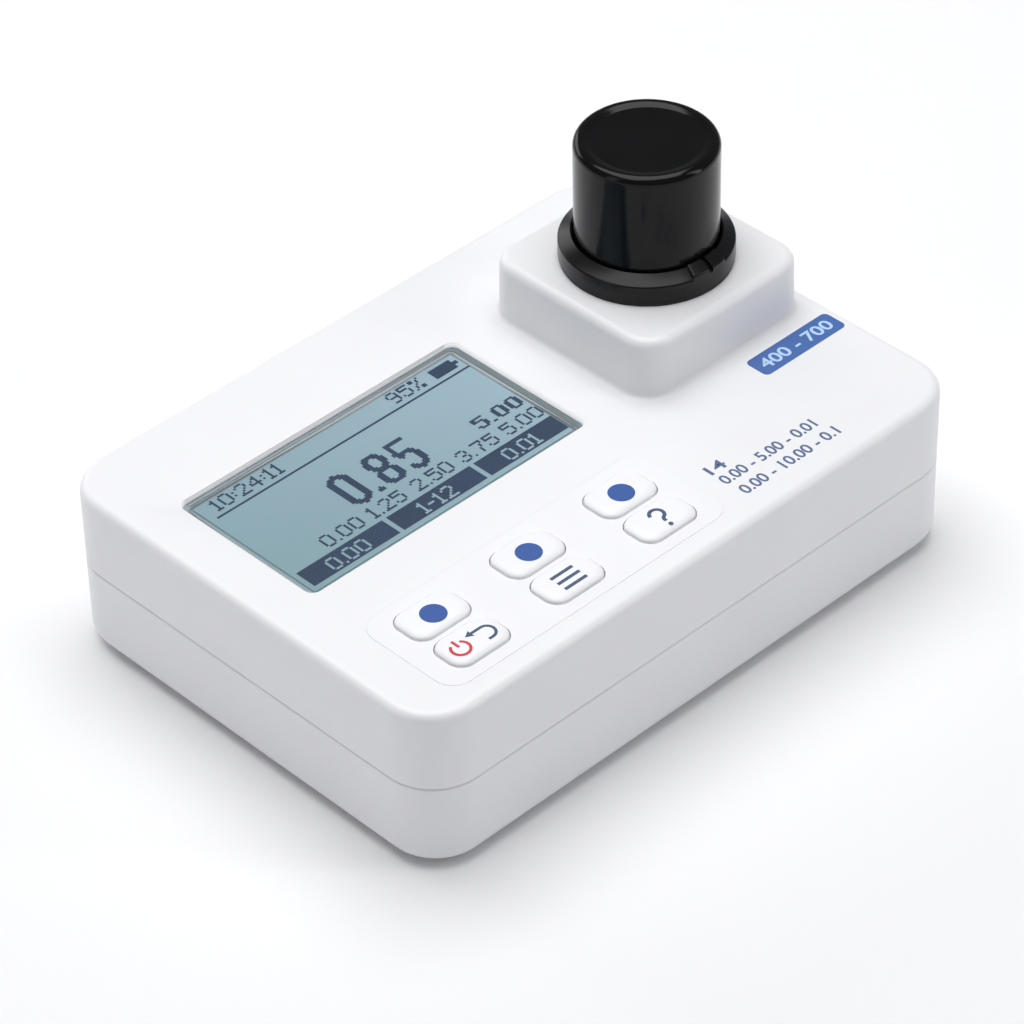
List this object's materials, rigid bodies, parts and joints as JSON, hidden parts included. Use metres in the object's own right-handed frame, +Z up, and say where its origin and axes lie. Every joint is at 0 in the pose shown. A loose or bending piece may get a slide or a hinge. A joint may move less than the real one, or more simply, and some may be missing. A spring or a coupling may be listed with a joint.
{
  "type": "portable photometer",
  "caption": "Portable photometer: flat case with display and keys, a raised block with a cuvette well, and a black light shield over the cuvette.",
  "frame": {"origin": "centre of the case's footprint, on the surface that the rubber feet stand on", "axes": "+Z up, +X to the right of a person at the keys, -Y towards that person"},
  "size_m": [0.1424, 0.1024, 0.078],
  "materials": {
    "case_plastic": "satin, finely textured white moulding",
    "key_plastic": "satin white moulding with printed signs",
    "overlay_film": "thin satin white film",
    "window_pane": "clear hard-coated pane",
    "display_glass": "grey-blue liquid crystal display",
    "light_panel": "white diffusing panel",
    "gloss_black": "polished black moulding",
    "matte_black": "dull black moulding that swallows light",
    "cap_black": "black moulding with grip grooves",
    "seal_rubber": "soft black rubber",
    "foot_rubber": "grey rubber",
    "mat_rubber": "pale grey silicone",
    "steel": "bright zinc-plated steel",
    "spring_steel": "nickel-plated spring steel",
    "cell_jacket": "printed metal jacket of a cell",
    "circuit_board": "green solder mask",
    "chip_plastic": "black moulded parts",
    "flat_cable": "amber film",
    "wire_jacket": "insulated wire",
    "clear_glass": "clear borosilicate glass",
    "filter_glass": "coloured coated glass",
    "sensor_can": "plated metal can",
    "lamp_resin": "clear resin",
    "liner_foam": "white sealing disc"
  },
  "bodies": {
    "case": {"top_case": "case_plastic", "bottom_case": "case_plastic", "battery_cover": "case_plastic", "case_gasket": "seal_rubber", "cover_gasket": "seal_rubber", "ring_gasket": "seal_rubber", "case_screws": "steel", "cover_screws": "steel", "board_screws": "steel", "holder_screws": "steel", "rubber_feet": "foot_rubber", "battery_cell_1": "cell_jacket", "battery_cell_2": "cell_jacket", "battery_cell_3": "cell_jacket", "battery_springs": "spring_steel", "battery_contacts": "spring_steel", "battery_leads": "wire_jacket", "display_window": "window_pane", "window_adhesive": "seal_rubber", "lcd_glass": "display_glass", "lcd_backlight": "light_panel", "lcd_frame": "matte_black", "ribbon_socket": "chip_plastic", "display_ribbon": "flat_cable", "main_board": "circuit_board", "board_parts": "chip_plastic", "buzzer": "chip_plastic", "keypad_overlay": "overlay_film", "keypad_mat": "mat_rubber", "cuvette_holder": "matte_black", "cuvette_spring": "spring_steel", "cuvette_ring": "gloss_black", "lamp_housing": "matte_black", "lamp_led": "lamp_resin", "lamp_lens": "clear_glass", "beam_splitter": "clear_glass", "reference_detector": "sensor_can", "lamp_board": "circuit_board", "sensor_housing": "matte_black", "colour_filter": "filter_glass", "light_detector": "sensor_can", "sensor_board": "circuit_board", "sensor_leads": "wire_jacket"},
    "left_function_key": {"key_function_left": "key_plastic"},
    "middle_function_key": {"key_function_middle": "key_plastic"},
    "right_function_key": {"key_function_right": "key_plastic"},
    "power_key": {"key_power": "key_plastic"},
    "menu_key": {"key_menu": "key_plastic"},
    "help_key": {"key_help": "key_plastic"},
    "cuvette": {"glass_cuvette": "clear_glass"},
    "liner": {"cap_liner": "liner_foam"},
    "cap": {"cuvette_cap": "cap_black"},
    "shield": {"light_shield": "gloss_black"}
  },
  "joints": [
    {"name": "press_left_function_key", "type": "slide", "parent": "case", "child": "left_function_key", "axis": [0, 0, -1], "range_m": [0, 0.0006], "stiffness_N_per_m": 3500, "springref_m": -0.0001},
    {"name": "press_middle_function_key", "type": "slide", "parent": "case", "child": "middle_function_key", "axis": [0, 0, -1], "range_m": [0, 0.0006], "stiffness_N_per_m": 3500, "springref_m": -0.0001},
    {"name": "press_right_function_key", "type": "slide", "parent": "case", "child": "right_function_key", "axis": [0, 0, -1], "range_m": [0, 0.0006], "stiffness_N_per_m": 3500, "springref_m": -0.0001},
    {"name": "press_power_key", "type": "slide", "parent": "case", "child": "power_key", "axis": [0, 0, -1], "range_m": [0, 0.0006], "stiffness_N_per_m": 3500, "springref_m": -0.0001},
    {"name": "press_menu_key", "type": "slide", "parent": "case", "child": "menu_key", "axis": [0, 0, -1], "range_m": [0, 0.0006], "stiffness_N_per_m": 3500, "springref_m": -0.0001},
    {"name": "press_help_key", "type": "slide", "parent": "case", "child": "help_key", "axis": [0, 0, -1], "range_m": [0, 0.0006], "stiffness_N_per_m": 3500, "springref_m": -0.0001},
    {"name": "lift_cuvette", "type": "slide", "parent": "case", "child": "cuvette", "axis": [0, 0, 1], "range_m": [0, 0.062]},
    {"name": "lift_cap", "type": "slide", "parent": "cuvette", "child": "liner", "axis": [0, 0, 1], "range_m": [0, 0.02]},
    {"name": "turn_cap", "type": "hinge", "parent": "liner", "child": "cap", "pos_m": [0.0455, 0.0092, 0.06], "axis": [0, 0, 1], "range_deg": [0, 450]},
    {"name": "lift_shield", "type": "slide", "parent": "cap", "child": "shield", "axis": [0, 0, 1], "range_m": [0, 0.03]}
  ]
}
